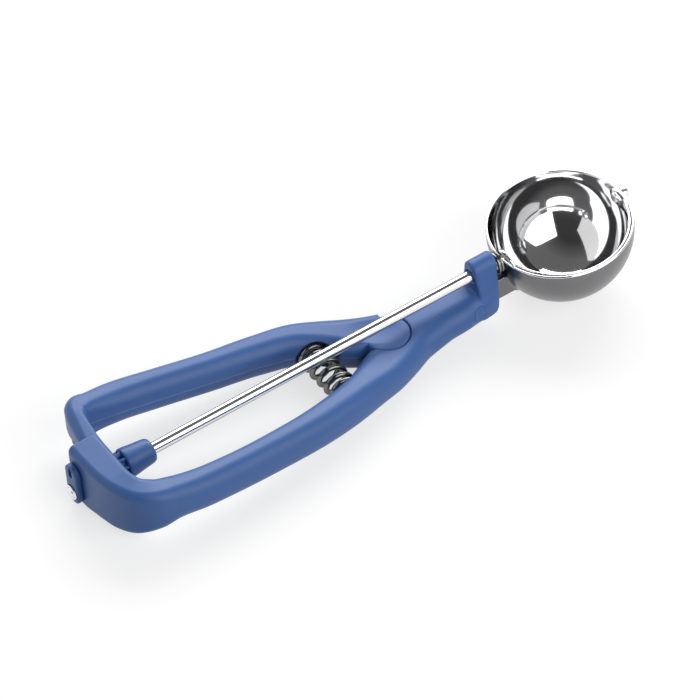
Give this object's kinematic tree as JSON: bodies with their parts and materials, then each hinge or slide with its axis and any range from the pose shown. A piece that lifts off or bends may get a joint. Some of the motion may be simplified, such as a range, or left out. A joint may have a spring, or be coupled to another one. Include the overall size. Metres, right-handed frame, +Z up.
{
  "type": "lever ice cream scoop",
  "caption": "Ice cream scoop with a round steel bowl, blue plastic squeeze handles and a thin rod that sweeps a scraper band through the bowl.",
  "frame": {"origin": "middle of the foot under the gear housing, on the table that the scoop lies on", "axes": "+X towards the bowl's tip, +Y towards the lever's side, +Z up out of the bowl's mouth"},
  "size_m": [0.2401, 0.0654, 0.0329],
  "materials": {
    "blue_plastic": "moulded, softly glossy",
    "steel": "polished stainless steel",
    "steel_satin": "satin stainless steel",
    "spring_steel": "drawn spring wire, dark"
  },
  "bodies": {
    "handle": {"front_handle": "blue_plastic", "bowl": "steel", "bowl_shank": "steel_satin", "shank_rivet": "steel", "rivet_plugs": "blue_plastic", "hinge_pin": "steel", "bowl_bush": "steel", "tip_bush": "steel", "rear_bearing_cap": "blue_plastic", "return_spring": "spring_steel"},
    "lever": {"back_handle": "blue_plastic"},
    "scraper": {"drive_rod": "steel", "pinion_collar": "blue_plastic", "scraper_blade": "steel", "blade_hub": "steel", "tip_pivot": "steel", "rod_retainer": "steel"}
  },
  "joints": [
    {"name": "lever_squeeze", "type": "hinge", "parent": "handle", "child": "lever", "pos_m": [0.12368, 0, 0.01958], "axis": [-0.0977, 0, 0.9952], "range_deg": [0, 6.41], "stiffness_Nm_per_rad": 1.5, "springref_deg": -5.73, "deforming": ["return_spring"]},
    {"name": "scraper_turn", "type": "hinge", "parent": "handle", "child": "scraper", "pos_m": [0.19932, 0, 0.027], "axis": [0.9952, 0, 0.0977], "range_deg": [0, 174.6]}
  ],
  "couplings": [
    {"joint": "scraper_turn", "follows": "lever_squeeze", "ratio": 27.222}
  ]
}
